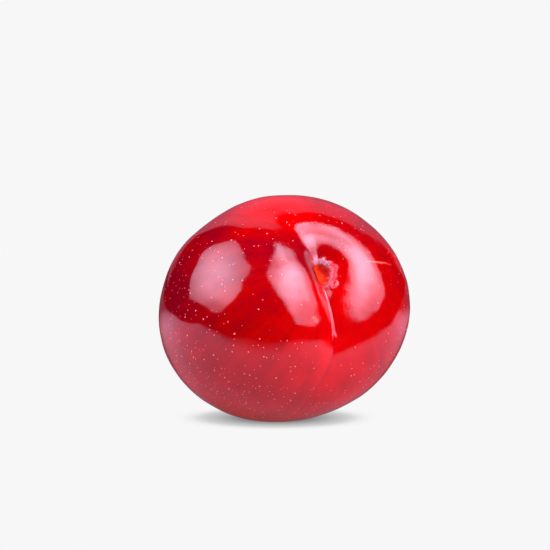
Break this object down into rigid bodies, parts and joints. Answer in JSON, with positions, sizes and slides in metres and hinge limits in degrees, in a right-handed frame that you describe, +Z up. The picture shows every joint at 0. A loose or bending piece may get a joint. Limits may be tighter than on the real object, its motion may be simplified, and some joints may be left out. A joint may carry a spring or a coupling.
{
  "type": "plum",
  "caption": "Whole ripe red plum lying on its side, with its suture groove, deep stem cavity and the scar of its stalk.",
  "frame": {"origin": "middle of the base of the object's box, on the surface that the plum rests on", "axes": "+Z up; the plum lies tipped, with its stem end facing up and towards -Y and +X, and +X to the right as seen from -Y"},
  "size_m": [0.06, 0.0574, 0.0542],
  "materials": {
    "plum_skin": "smooth, glossy, waxy red fruit skin with pale speckles"
  },
  "bodies": {
    "root": {"plum": "plum_skin"}
  },
  "joints": []
}
